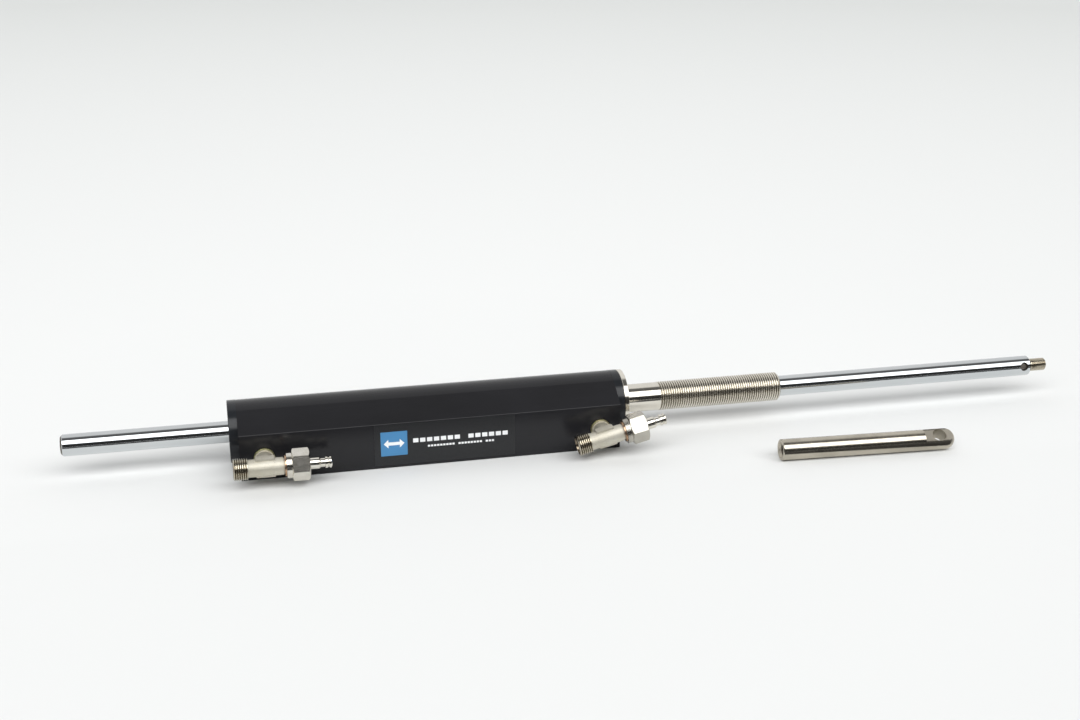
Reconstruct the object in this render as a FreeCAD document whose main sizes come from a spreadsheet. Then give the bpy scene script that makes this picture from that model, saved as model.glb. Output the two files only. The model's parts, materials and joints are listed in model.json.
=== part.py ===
import FreeCAD, Part
import math
import operator
import os

import Sketcher
from FreeCAD import Placement, Rotation, Vector

# Double-ended hydraulic steering cylinder: a through rod in an extruded aluminium barrel.
# X runs along the rod towards its threaded stud, -Y is the face with the two oil ports, +Z is up.
# The origin is on the flat underside, below the middle of the barrel. Millimetres and degrees.

SIZES = {
    # rod
    "rod_diameter": 15.875,
    "rod_rear_reach": 263.3,
    "rod_front_reach": 493.3,
    "rod_end_chamfer": 1.6,
    "shoulder_chamfer": 2.8,
    "stud_diameter": 10.0,
    "stud_length": 13.6,
    "stud_thread_pitch": 1.0,
    "stud_thread_turns": 12,
    "stud_thread_depth": 0.55,
    "cross_hole_diameter": 7.0,
    "cross_hole_inset": 8.0,
    "cross_hole_tilt": 14.0,
    "rod_axis_height": 26.2,
    # barrel
    "barrel_length": 280.0,
    "barrel_arc_radius": 22.9,
    "barrel_bore": 32.0,
    "front_face_offset": 31.75,
    "ridge_height": 8.4,
    "back_corner_radius": 6.0,
    "front_edge_radius": 1.0,
    "rear_port_inset": 17.2,
    "front_port_inset": 15.4,
    "port_drop": 9.2,
    "port_seat_diameter": 13.0,
    "port_seat_depth": 12.0,
    "port_drill": 7.0,
    # glands, seals and bushes
    "running_clearance": 0.05,
    "gland_head_diameter": 46.0,
    "gland_head_length": 6.3,
    "gland_edge_chamfer": 0.4,
    "gland_depth": 25.0,
    "gland_land_length": 12.0,
    "gland_relief_diameter": 27.4,
    "gland_oring_start": 6.6,
    "gland_oring_width": 3.4,
    "gland_oring_section": 2.3,
    "gland_pocket_diameter": 24.0,
    "gland_pocket_depth": 5.2,
    "gland_web": 2.2,
    "gland_throat_diameter": 16.8,
    "rod_seal_length": 5.8,
    "rod_seal_diameter": 23.6,
    "bush_diameter": 19.4,
    # support tube
    "flange_diameter": 46.0,
    "flange_thickness": 3.6,
    "flange_chamfer": 0.35,
    "undercut_width": 1.0,
    "undercut_depth": 0.6,
    "tube_plain_diameter": 21.7,
    "tube_plain_length": 28.4,
    "tube_thread_diameter": 22.2,
    "tube_thread_length": 97.2,
    "tube_thread_pitch": 1.814,
    "tube_thread_turns": 53,
    "tube_thread_depth": 0.95,
    "tube_end_chamfer": 1.2,
    "tube_bore": 17.4,
    "end_bush_diameter": 19.2,
    "end_bush_length": 10.0,
    "end_wiper_length": 3.0,
    # piston
    "piston_diameter": 31.4,
    "piston_length": 26.4,
    "piston_seal_width": 5.0,
    "piston_seal_floor": 25.4,
    "guide_ring_width": 3.2,
    "guide_ring_floor": 28.2,
    "guide_ring_spacing": 8.4,
    "piston_oring_floor": 19.6,
    "piston_oring_width": 2.6,
    "piston_oring_section": 1.7,
    "retaining_ring_thickness": 1.2,
    "retaining_ring_diameter": 20.0,
    "retaining_groove_floor": 14.4,
    "retaining_ring_arc": 325.0,
    # swivel tees
    "run_standoff": 17.3,
    "front_tee_angle": 13.4,
    "run_diameter": 12.6,
    "run_rear_reach": 12.6,
    "run_front_reach": 13.3,
    "run_undercut_width": 0.8,
    "run_undercut_diameter": 11.2,
    "hose_thread_diameter": 16.0,
    "hose_thread_length": 9.9,
    "hose_thread_pitch": 1.5,
    "hose_thread_turns": 6,
    "hose_thread_depth": 0.85,
    "hose_socket_diameter": 10.1,
    "hose_socket_depth": 7.0,
    "hose_cone_diameter": 12.3,
    "hose_cone_depth": 5.2,
    "run_bore": 6.6,
    "bleed_seat_diameter": 10.0,
    "bleed_seat_depth": 9.5,
    "saddle_width": 13.6,
    "saddle_top": 7.1,
    "saddle_bottom": 6.7,
    "saddle_front": 2.6,
    "saddle_back": 4.2,
    "saddle_corner_radius": 0.9,
    "branch_diameter": 12.4,
    "branch_flange_diameter": 13.8,
    "branch_flange_thickness": 1.2,
    "branch_bore": 5.4,
    "spigot_length": 10.4,
    "spigot_groove_start": 3.6,
    "spigot_groove_width": 2.2,
    "spigot_groove_floor": 9.5,
    "tee_oring_section": 1.6,
    "port_washer_diameter": 15.0,
    "port_washer_thickness": 1.5,
    "joint_gap": 0.2,
    # bleeders
    "copper_washer_diameter": 15.2,
    "copper_washer_thickness": 1.0,
    "collar_diameter": 18.6,
    "collar_length": 3.7,
    "hex_across_flats": 20.0,
    "hex_length": 12.7,
    "hex_chamfer": 1.0,
    "rear_hex_angle": 6.0,
    "front_hex_angle": 55.0,
    "hex_spigot_length": 8.0,
    "nipple_stem_diameter": 8.4,
    "nipple_stem_length": 6.4,
    "nipple_neck_diameter": 6.6,
    "nipple_neck_length": 4.2,
    "nipple_ridge_diameter": 8.4,
    "nipple_ridge_length": 2.1,
    "nipple_ridge_gap": 0.6,
    "nipple_tail_diameter": 6.0,
    "nipple_tail_length": 10.0,
    "nipple_bore": 2.6,
    # label and loose rod-end extension
    "label_rear": 44.2,
    "label_front": 59.6,
    "label_top": 7.8,
    "label_bottom": 23.8,
    "label_thickness": 0.25,
    "extension_length": 134.7,
    "extension_rear_distance": 249.3,
    "extension_gap": 79.9,
    "extension_yaw": -3.2,
    "extension_roll": 32.0,
    "extension_bore": 9.0,
    "extension_bore_depth": 22.0,
    "extension_mouth_diameter": 12.6,
    "extension_flat_length": 24.6,
    "extension_flat_thickness": 11.1,
    "extension_eye_diameter": 10.4,
    "extension_eye_inset": 12.7,
    "extension_edge_chamfer": 0.5,
}

OPERATIONS = {"+": operator.add, "-": operator.sub, "*": operator.mul, "/": operator.truediv}


class Size:
    """A size with its value now and the sheet formula that keeps it up to date."""

    def __init__(self, value, formula):
        self.value = value
        self.formula = formula

    def joined(self, sign, other, swapped=False):
        other = as_size(other)
        left, right = (other, self) if swapped else (self, other)
        value = OPERATIONS[sign](left.value, right.value)
        return Size(value, f"({left.formula} {sign} {right.formula})")

    def __add__(self, other):
        return self.joined("+", other)

    def __radd__(self, other):
        return self.joined("+", other, swapped=True)

    def __sub__(self, other):
        return self.joined("-", other)

    def __rsub__(self, other):
        return self.joined("-", other, swapped=True)

    def __mul__(self, other):
        return self.joined("*", other)

    def __rmul__(self, other):
        return self.joined("*", other, swapped=True)

    def __truediv__(self, other):
        return self.joined("/", other)

    def __neg__(self):
        return self * -1


def as_size(thing):
    return thing if isinstance(thing, Size) else Size(float(thing), str(thing))


class Sheet:
    """The document's spreadsheet: reading sheet.word gives that cell as a Size."""

    def __init__(self, document):
        self.table = document.addObject("Spreadsheet::Sheet", "Sizes")
        for row, (word, value) in enumerate(SIZES.items(), start=1):
            self.table.set(f"A{row}", word)
            self.table.set(f"B{row}", str(value))
            self.table.setAlias(f"B{row}", word)
        document.recompute()

    def __getattr__(self, word):
        return Size(float(SIZES[word]), f"Sizes.{word}")


document = FreeCAD.newDocument("SteeringCylinder")
size = Sheet(document)
sub_parts = []

half_barrel = size.barrel_length / 2
rod_radius = size.rod_diameter / 2
seal_bore_radius = rod_radius + size.running_clearance
barrel_bore_radius = size.barrel_bore / 2
gland_outer_x = half_barrel + size.gland_head_length
run_axis_y = -(size.front_face_offset + size.run_standoff)
port_axis_z = size.rod_axis_height - size.port_drop


# ---------------------------------------------------------------- helpers

def keep(thing):
    """Count a finished object as one sub-part of the assembly."""
    sub_parts.append(thing)
    return thing


def bind(thing, path, amount):
    """Set a property from a size and hold it there with the sheet formula."""
    amount = as_size(amount)
    if path in thing.PropertiesList:
        setattr(thing, path, amount.value)
    thing.setExpression(path, amount.formula)


def place(thing, x=0, y=0, z=0, rotation=None):
    thing.Placement = Placement(Vector(0, 0, 0), rotation or Rotation())
    for axis, amount in (("x", x), ("y", y), ("z", z)):
        thing.setExpression(f"Placement.Base.{axis}", as_size(amount).formula)
    return thing


def new_body(label):
    body = document.addObject("PartDesign::Body", label)
    body.Label = label
    return body


def new_sketch(body, plane, name, offset=0, turn_axis="Z", turn=0):
    """A sketch on one of the body's own planes, lifted by offset and turned about its own axis."""
    sketch = body.newObject("Sketcher::SketchObject", name)
    for part in body.Origin.OriginFeatures:
        if part.Role == f"{plane}_Plane":
            sketch.AttachmentSupport = [(part, "")]
    sketch.MapMode = "FlatFace"
    directions = {"X": Vector(1, 0, 0), "Z": Vector(0, 0, 1)}
    spin = Rotation(directions[turn_axis], as_size(turn).value)
    sketch.AttachmentOffset = Placement(Vector(0, 0, as_size(offset).value), spin)
    if as_size(offset).value:
        sketch.setExpression("AttachmentOffset.Base.z", as_size(offset).formula)
    return sketch


def hold_point(sketch, index, end, u, v):
    """Hold one end of a sketch line at (u, v) with sheet formulas."""
    for kind, amount, axis in (("DistanceX", as_size(u), -2), ("DistanceY", as_size(v), -1)):
        if amount.value == 0:
            sketch.addConstraint(Sketcher.Constraint("PointOnObject", index, end, axis))
        else:
            rule = Sketcher.Constraint(kind, -1, 1, index, end, amount.value)
            number = sketch.addConstraint(rule)
            sketch.setExpression(f"Constraints[{number}]", amount.formula)


def draw_outline(sketch, corners):
    """Draw a closed outline of straight lines through corners, each a pair of sizes."""
    first = sketch.GeometryCount
    count = len(corners)
    spots = [Vector(as_size(u).value, as_size(v).value, 0) for u, v in corners]
    for number in range(count):
        line = Part.LineSegment(spots[number], spots[(number + 1) % count])
        sketch.addGeometry(line, False)
    for number in range(count):
        following = first + (number + 1) % count
        sketch.addConstraint(Sketcher.Constraint("Coincident", first + number, 2, following, 1))
    for number, (u, v) in enumerate(corners):
        hold_point(sketch, first + number, 1, u, v)


def draw_circle(sketch, u, v, radius):
    """Draw a circle whose centre and radius are held by sheet formulas."""
    centre = Vector(as_size(u).value, as_size(v).value, 0)
    circle = Part.Circle(centre, Vector(0, 0, 1), as_size(radius).value)
    index = sketch.addGeometry(circle, False)
    hold_point(sketch, index, 3, u, v)
    number = sketch.addConstraint(Sketcher.Constraint("Radius", index, as_size(radius).value))
    sketch.setExpression(f"Constraints[{number}]", as_size(radius).formula)
    return index


def draw_hexagon(sketch, across_flats):
    """Draw a regular hexagon about the sketch's origin, with a flat at the bottom."""
    corner_radius = across_flats / math.sqrt(3)
    spots = []
    for number in range(6):
        angle = math.radians(60 * number)
        spots.append(Vector(math.cos(angle), math.sin(angle), 0) * corner_radius.value)
    first = sketch.GeometryCount
    for number in range(6):
        line = Part.LineSegment(spots[number], spots[(number + 1) % 6])
        sketch.addGeometry(line, False)
    ring = Part.Circle(Vector(0, 0, 0), Vector(0, 0, 1), corner_radius.value)
    guide = sketch.addGeometry(ring, True)
    sketch.addConstraint(Sketcher.Constraint("Coincident", guide, 3, -1, 1))
    number = sketch.addConstraint(Sketcher.Constraint("Radius", guide, corner_radius.value))
    sketch.setExpression(f"Constraints[{number}]", corner_radius.formula)
    for number in range(6):
        following = first + (number + 1) % 6
        sketch.addConstraint(Sketcher.Constraint("Coincident", first + number, 2, following, 1))
        sketch.addConstraint(Sketcher.Constraint("PointOnObject", first + number, 1, guide))
    for number in range(1, 6):
        sketch.addConstraint(Sketcher.Constraint("Equal", first, first + number))
    sketch.addConstraint(Sketcher.Constraint("PointOnObject", first, 1, -1))


def turn_profile(body, kind, corners, name, plane="XZ", axis="H_Axis", arc=360.0):
    """Revolve an outline of (along, radius) corners about the body's axis, adding or cutting."""
    sketch = new_sketch(body, plane, f"{name}_outline")
    draw_outline(sketch, corners)
    feature = body.newObject(f"PartDesign::{kind}", name)
    feature.Profile = sketch
    feature.ReferenceAxis = (sketch, [axis])
    bind(feature, "Angle", arc)
    return feature


def turned_part(label, corners, arc=360.0):
    """A piece turned about X from one outline."""
    body = new_body(label)
    turn_profile(body, "Revolution", corners, f"{label}_turned", arc=arc)
    return body


def ring_corners(start, length, inner_radius, outer_radius):
    end = start + length
    return [(start, inner_radius), (end, inner_radius), (end, outer_radius), (start, outer_radius)]


def cut_thread(body, start, radius, pitch, turns, depth, name):
    """Cut a row of V grooves round a cylinder, one pitch apart, for an external thread."""
    lift = 0.2
    half_width = pitch * 0.44
    spread = half_width * (1 + lift / depth.value)
    corners = [
        (start - spread, radius + lift),
        (start, radius - depth),
        (start + spread, radius + lift),
    ]
    groove = turn_profile(body, "Groove", corners, name)
    pattern = body.newObject("PartDesign::LinearPattern", f"{name}_row")
    pattern.Originals = [groove]
    pattern.Direction = (groove.Profile[0], ["H_Axis"])
    bind(pattern, "Length", pitch * (turns - 1))
    pattern.setExpression("Occurrences", turns.formula)
    body.Tip = pattern
    return pattern


def cut_pocket(body, sketch, name, length=None, reverse=False):
    """Cut a sketch into the body, to a length or, with none given, right through both ways."""
    document.recompute()
    before = body.Shape.Volume
    pocket = body.newObject("PartDesign::Pocket", name)
    pocket.Profile = sketch
    if length is None:
        pocket.Type = "ThroughAll"
        pocket.SideType = "Symmetric"
    else:
        bind(pocket, "Length", length)
        pocket.Reversed = reverse
    document.recompute()
    if not body.Shape.Volume < before - 0.5:
        raise ValueError(f"{name} cuts nothing")
    return pocket


def oring(label, ring_radius, section, rotation, **position):
    """A rubber ring: a torus of the given middle radius and section diameter."""
    torus = document.addObject("Part::Torus", label)
    torus.Label = label
    bind(torus, "Radius1", ring_radius)
    bind(torus, "Radius2", section / 2)
    return keep(place(torus, rotation=rotation, **position))


AXIS_TO_X = Rotation(Vector(0, 1, 0), 90)
AXIS_TO_Y = Rotation(Vector(1, 0, 0), 90)
HALF_TURN = Rotation(Vector(0, 0, 1), 180)


# ---------------------------------------------------------------- barrel

def draw_barrel_section(sketch):
    """Round back and top about the rod, a sloping flank, and flat front and under sides."""
    face = size.front_face_offset.value
    ridge = size.ridge_height.value
    base = size.rod_axis_height.value
    radius = size.barrel_arc_radius.value
    corner = size.back_corner_radius.value
    reach = math.hypot(face, ridge)
    touch = math.atan2(ridge, -face) - math.acos(radius / reach)
    touch_point = Vector(radius * math.cos(touch), radius * math.sin(touch), 0)
    up = Vector(0, 0, 1)
    over_top = Part.ArcOfCircle(Part.Circle(Vector(0, 0, 0), up, radius), 0, touch)
    foot_centre = Vector(radius - corner, corner - base, 0)
    foot = Part.ArcOfCircle(Part.Circle(foot_centre, up, corner), -math.pi / 2, 0)
    ridge_point = Vector(-face, ridge, 0)
    toe_point = Vector(-face, -base, 0)
    front, flank, top, back, foot_arc, under = range(6)
    sketch.addGeometry(Part.LineSegment(toe_point, ridge_point), False)
    sketch.addGeometry(Part.LineSegment(ridge_point, touch_point), False)
    sketch.addGeometry(over_top, False)
    back_line = Part.LineSegment(Vector(radius, 0, 0), Vector(radius, corner - base, 0))
    sketch.addGeometry(back_line, False)
    sketch.addGeometry(foot, False)
    sketch.addGeometry(Part.LineSegment(Vector(radius - corner, -base, 0), toe_point), False)
    rules = [
        ("Coincident", front, 2, flank, 1),
        ("Tangent", flank, 2, top, 2),
        ("Tangent", top, 1, back, 1),
        ("Tangent", back, 2, foot_arc, 2),
        ("Tangent", foot_arc, 1, under, 1),
        ("Coincident", under, 2, front, 1),
        ("Coincident", top, 3, -1, 1),
        ("Vertical", front),
        ("Vertical", back),
        ("Horizontal", under),
    ]
    for rule in rules:
        sketch.addConstraint(Sketcher.Constraint(*rule))
    for index, amount in ((top, size.barrel_arc_radius), (foot_arc, size.back_corner_radius)):
        number = sketch.addConstraint(Sketcher.Constraint("Radius", index, amount.value))
        sketch.setExpression(f"Constraints[{number}]", amount.formula)
    hold_point(sketch, front, 2, -size.front_face_offset, size.ridge_height)
    rule = Sketcher.Constraint("DistanceY", -1, 1, front, 1, -base)
    number = sketch.addConstraint(rule)
    sketch.setExpression(f"Constraints[{number}]", (-size.rod_axis_height).formula)


def make_barrel():
    body = new_body("barrel")
    section = new_sketch(body, "YZ", "barrel_section")
    draw_barrel_section(section)
    pad = body.newObject("PartDesign::Pad", "barrel_extrusion")
    pad.Profile = section
    bind(pad, "Length", size.barrel_length)
    document.recompute()

    front_edges = []
    for number, edge in enumerate(pad.Shape.Edges, start=1):
        first, last = edge.Vertexes[0].Point, edge.Vertexes[-1].Point
        runs_along = abs(first.x - last.x) > size.barrel_length.value - 1
        if runs_along and abs(first.y + size.front_face_offset.value) < 0.01:
            front_edges.append(f"Edge{number}")
    rounding = body.newObject("PartDesign::Fillet", "barrel_front_edges")
    rounding.Base = (pad, front_edges)
    bind(rounding, "Radius", size.front_edge_radius)

    bore = new_sketch(body, "YZ", "barrel_bore_circle")
    draw_circle(bore, 0, 0, barrel_bore_radius)
    cut_pocket(body, bore, "barrel_bore_cut", size.barrel_length, reverse=True)

    cuts = (
        ("seat", size.port_seat_diameter / 2, size.port_seat_depth),
        ("drill", size.port_drill / 2, size.front_face_offset),
    )
    for name, radius, depth in cuts:
        sketch = new_sketch(body, "XZ", f"port_{name}_circles", offset=size.front_face_offset)
        for x in (size.rear_port_inset, size.barrel_length - size.front_port_inset):
            draw_circle(sketch, x, -size.port_drop, radius)
        cut_pocket(body, sketch, f"port_{name}_cuts", depth)
    keep(place(body, x=-half_barrel, z=size.rod_axis_height))


# ---------------------------------------------------------------- glands and seals

def gland_corners():
    """Gland outline from its outer face inwards: head, spigot, ring groove, relief and bores."""
    head = size.gland_head_length
    head_radius = size.gland_head_diameter / 2
    spigot_radius = barrel_bore_radius - size.running_clearance
    groove_radius = barrel_bore_radius - size.gland_oring_section - size.running_clearance
    groove_start = head + size.gland_oring_start
    groove_end = groove_start + size.gland_oring_width
    relief_start = head + size.gland_land_length
    inner_end = head + size.gland_depth
    seal_start = size.gland_pocket_depth + size.gland_web
    seal_end = seal_start + size.rod_seal_length
    bush_start = seal_end + size.gland_web
    throat = size.gland_throat_diameter / 2
    return [
        (0, size.gland_pocket_diameter / 2),
        (0, head_radius - size.gland_edge_chamfer),
        (size.gland_edge_chamfer, head_radius),
        (head, head_radius),
        (head, spigot_radius),
        (groove_start, spigot_radius),
        (groove_start, groove_radius),
        (groove_end, groove_radius),
        (groove_end, spigot_radius),
        (relief_start, spigot_radius),
        (relief_start, size.gland_relief_diameter / 2),
        (inner_end, size.gland_relief_diameter / 2),
        (inner_end, size.bush_diameter / 2),
        (bush_start, size.bush_diameter / 2),
        (bush_start, throat),
        (seal_end, throat),
        (seal_end, size.rod_seal_diameter / 2),
        (seal_start, size.rod_seal_diameter / 2),
        (seal_start, throat),
        (size.gland_pocket_depth, throat),
        (size.gland_pocket_depth, size.gland_pocket_diameter / 2),
    ]


def rod_seal_corners():
    """A lip seal: a ring whose pressure side is hollowed to a V between its two lips."""
    start = size.gland_pocket_depth + size.gland_web
    end = start + size.rod_seal_length
    outer = size.rod_seal_diameter / 2
    middle = (outer + seal_bore_radius) / 2
    lip = 0.8
    return [
        (start, seal_bore_radius),
        (end, seal_bore_radius),
        (end, seal_bore_radius + lip),
        (end - size.rod_seal_length / 2, middle),
        (end, outer - lip),
        (end, outer),
        (start, outer),
    ]


def make_gland_set(end, x, rotation):
    """One barrel end: gland, its sealing ring on the barrel, the rod seal and the guide bush."""
    spot = {"x": x, "z": size.rod_axis_height, "rotation": rotation}
    keep(place(turned_part(f"{end}_gland", gland_corners()), **spot))
    keep(place(turned_part(f"{end}_rod_seal", rod_seal_corners()), **spot))
    seal_end = size.gland_pocket_depth + size.gland_web + size.rod_seal_length
    bush_start = seal_end + size.gland_web
    bush_length = size.gland_head_length + size.gland_depth - bush_start
    bush = ring_corners(bush_start, bush_length, seal_bore_radius, size.bush_diameter / 2)
    keep(place(turned_part(f"{end}_guide_bush", bush), **spot))
    ring_middle = size.gland_oring_start + size.gland_oring_width / 2
    ring_radius = barrel_bore_radius - size.running_clearance - size.gland_oring_section / 2
    inwards = half_barrel - ring_middle
    ring_x = inwards if x.value > 0 else -inwards
    oring(
        f"{end}_gland_oring", ring_radius, size.gland_oring_section - 0.04, AXIS_TO_X,
        x=ring_x, z=size.rod_axis_height,
    )


def make_rear_wiper():
    """Wiper in the rear gland's outer pocket, with a scraper lip against the rod."""
    depth = size.gland_pocket_depth
    outer = size.gland_pocket_diameter / 2
    lip = 1.2
    corners = [
        (0, seal_bore_radius),
        (depth, seal_bore_radius + lip),
        (depth, outer),
        (lip, outer),
        (lip, seal_bore_radius + lip),
    ]
    wiper = turned_part("rear_wiper", corners)
    keep(place(wiper, x=-gland_outer_x, z=size.rod_axis_height))


# ---------------------------------------------------------------- support tube

def make_support_tube():
    """Flanged tube with a long outside thread, screwed into the front gland's pocket."""
    spigot = size.gland_pocket_depth - 0.2
    spigot_radius = size.gland_pocket_diameter / 2 - size.running_clearance
    flange_radius = size.flange_diameter / 2
    flange_end = spigot + size.flange_thickness
    plain_radius = size.tube_plain_diameter / 2
    thread_radius = size.tube_thread_diameter / 2
    thread_start = flange_end + size.tube_plain_length
    tube_end = thread_start + size.tube_thread_length
    seat_radius = size.end_bush_diameter / 2
    seat_start = tube_end - size.end_bush_length - size.end_wiper_length
    body = turned_part("support_tube", [
        (0, size.tube_bore / 2),
        (0, spigot_radius),
        (spigot, spigot_radius),
        (spigot, flange_radius - size.flange_chamfer),
        (spigot + size.flange_chamfer, flange_radius),
        (flange_end - size.flange_chamfer, flange_radius),
        (flange_end, flange_radius - size.flange_chamfer),
        (flange_end, plain_radius - size.undercut_depth),
        (flange_end + size.undercut_width, plain_radius - size.undercut_depth),
        (flange_end + size.undercut_width, plain_radius),
        (thread_start, plain_radius),
        (thread_start, thread_radius),
        (tube_end - size.tube_end_chamfer, thread_radius),
        (tube_end, thread_radius - size.tube_end_chamfer),
        (tube_end, seat_radius),
        (seat_start, seat_radius),
        (seat_start, size.tube_bore / 2),
    ])
    cut_thread(
        body, thread_start + size.tube_thread_pitch / 2, thread_radius, size.tube_thread_pitch,
        size.tube_thread_turns, size.tube_thread_depth, "tube_thread",
    )
    tube_x = gland_outer_x - spigot
    keep(place(body, x=tube_x, z=size.rod_axis_height))

    bush = ring_corners(seat_start, size.end_bush_length, seal_bore_radius, seat_radius)
    keep(place(turned_part("tube_end_bush", bush), x=tube_x, z=size.rod_axis_height))
    wiper_start = seat_start + size.end_bush_length
    lip = 0.9
    wiper = turned_part("tube_end_wiper", [
        (wiper_start, seal_bore_radius + lip),
        (tube_end, seal_bore_radius),
        (tube_end - lip, seat_radius),
        (wiper_start, seat_radius),
    ])
    keep(place(wiper, x=tube_x, z=size.rod_axis_height))


# ---------------------------------------------------------------- rod and piston

def make_rod():
    """Through rod with two retaining grooves, a cross hole, and a threaded stud at the front."""
    half_piston = size.piston_length / 2
    ring = size.retaining_ring_thickness + 0.1
    middle = size.rod_rear_reach
    shoulder = size.rod_rear_reach + size.rod_front_reach
    tip = shoulder + size.stud_length
    groove = size.retaining_groove_floor / 2
    stud = size.stud_diameter / 2
    chamfer = size.rod_end_chamfer
    shoulder_rim = rod_radius - size.shoulder_chamfer
    body = turned_part("piston_rod", [
        (0, 0),
        (0, rod_radius - chamfer),
        (chamfer, rod_radius),
        (middle - half_piston - ring, rod_radius),
        (middle - half_piston - ring, groove),
        (middle - half_piston, groove),
        (middle - half_piston, rod_radius),
        (middle + half_piston, rod_radius),
        (middle + half_piston, groove),
        (middle + half_piston + ring, groove),
        (middle + half_piston + ring, rod_radius),
        (shoulder - size.shoulder_chamfer, rod_radius),
        (shoulder, shoulder_rim),
        (shoulder, stud),
        (tip - 1, stud),
        (tip, stud - 1),
        (tip, 0),
    ])
    cut_thread(
        body, shoulder + size.stud_thread_pitch, stud, size.stud_thread_pitch,
        size.stud_thread_turns, size.stud_thread_depth, "stud_thread",
    )
    tilt = -size.cross_hole_tilt
    sketch = new_sketch(body, "XZ", "cross_hole_circle", turn_axis="X", turn=tilt)
    draw_circle(sketch, shoulder - size.cross_hole_inset, 0, size.cross_hole_diameter / 2)
    cut_pocket(body, sketch, "cross_hole")
    keep(place(body, x=-size.rod_rear_reach, z=size.rod_axis_height))


def make_piston():
    """Piston with grooves for its seal, two guide rings, and a ring seal on the rod."""
    half = size.piston_length / 2
    outer = size.piston_diameter / 2
    inner = rod_radius + size.running_clearance / 2
    grooves = [
        (half - size.guide_ring_spacing, size.guide_ring_width, size.guide_ring_floor),
        (half, size.piston_seal_width, size.piston_seal_floor),
        (half + size.guide_ring_spacing, size.guide_ring_width, size.guide_ring_floor),
    ]
    corners = [(0, inner), (0, outer)]
    for middle, width, floor in grooves:
        start = middle - width / 2
        end = middle + width / 2
        corners += [(start, outer), (start, floor / 2), (end, floor / 2), (end, outer)]
    ring_start = half - size.piston_oring_width / 2
    ring_end = half + size.piston_oring_width / 2
    ring_floor = size.piston_oring_floor / 2
    corners += [(size.piston_length, outer), (size.piston_length, inner)]
    corners += [(ring_end, inner), (ring_end, ring_floor)]
    corners += [(ring_start, ring_floor), (ring_start, inner)]
    spot = {"x": -half, "z": size.rod_axis_height}
    keep(place(turned_part("piston", corners), **spot))

    ring_outer = barrel_bore_radius - size.running_clearance
    names = ("rear_guide_ring", "piston_seal", "front_guide_ring")
    for name, (middle, width, floor) in zip(names, grooves):
        inner_radius = floor / 2 + size.running_clearance
        start = middle - width / 2 + size.running_clearance
        length = width - 2 * size.running_clearance
        ring = ring_corners(start, length, inner_radius, ring_outer)
        keep(place(turned_part(name, ring), **spot))
    oring(
        "piston_oring", rod_radius + 0.05 + size.piston_oring_section / 2,
        size.piston_oring_section, AXIS_TO_X, x=0, z=size.rod_axis_height,
    )
    groove_radius = size.retaining_groove_floor / 2 + 0.05
    ring = ring_corners(0, size.retaining_ring_thickness, groove_radius,
                        size.retaining_ring_diameter / 2)
    starts = {"rear": -half - size.retaining_ring_thickness - 0.05, "front": half + 0.05}
    for end, start in starts.items():
        clip = turned_part(f"{end}_retaining_ring", ring, arc=size.retaining_ring_arc)
        keep(place(clip, x=start, z=size.rod_axis_height))


# ---------------------------------------------------------------- swivel tees and bleeders

def fitting_spot(end):
    """Where a tee's run and branch axes cross, and how far the tee is swung round its port."""
    if end == "rear":
        return {"x": size.rear_port_inset - half_barrel, "y": run_axis_y, "z": port_axis_z}
    swing = Rotation(Vector(0, -1, 0), size.front_tee_angle.value)
    port_x = half_barrel - size.front_port_inset
    return {"x": port_x, "y": run_axis_y, "z": port_axis_z, "rotation": swing}


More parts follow.
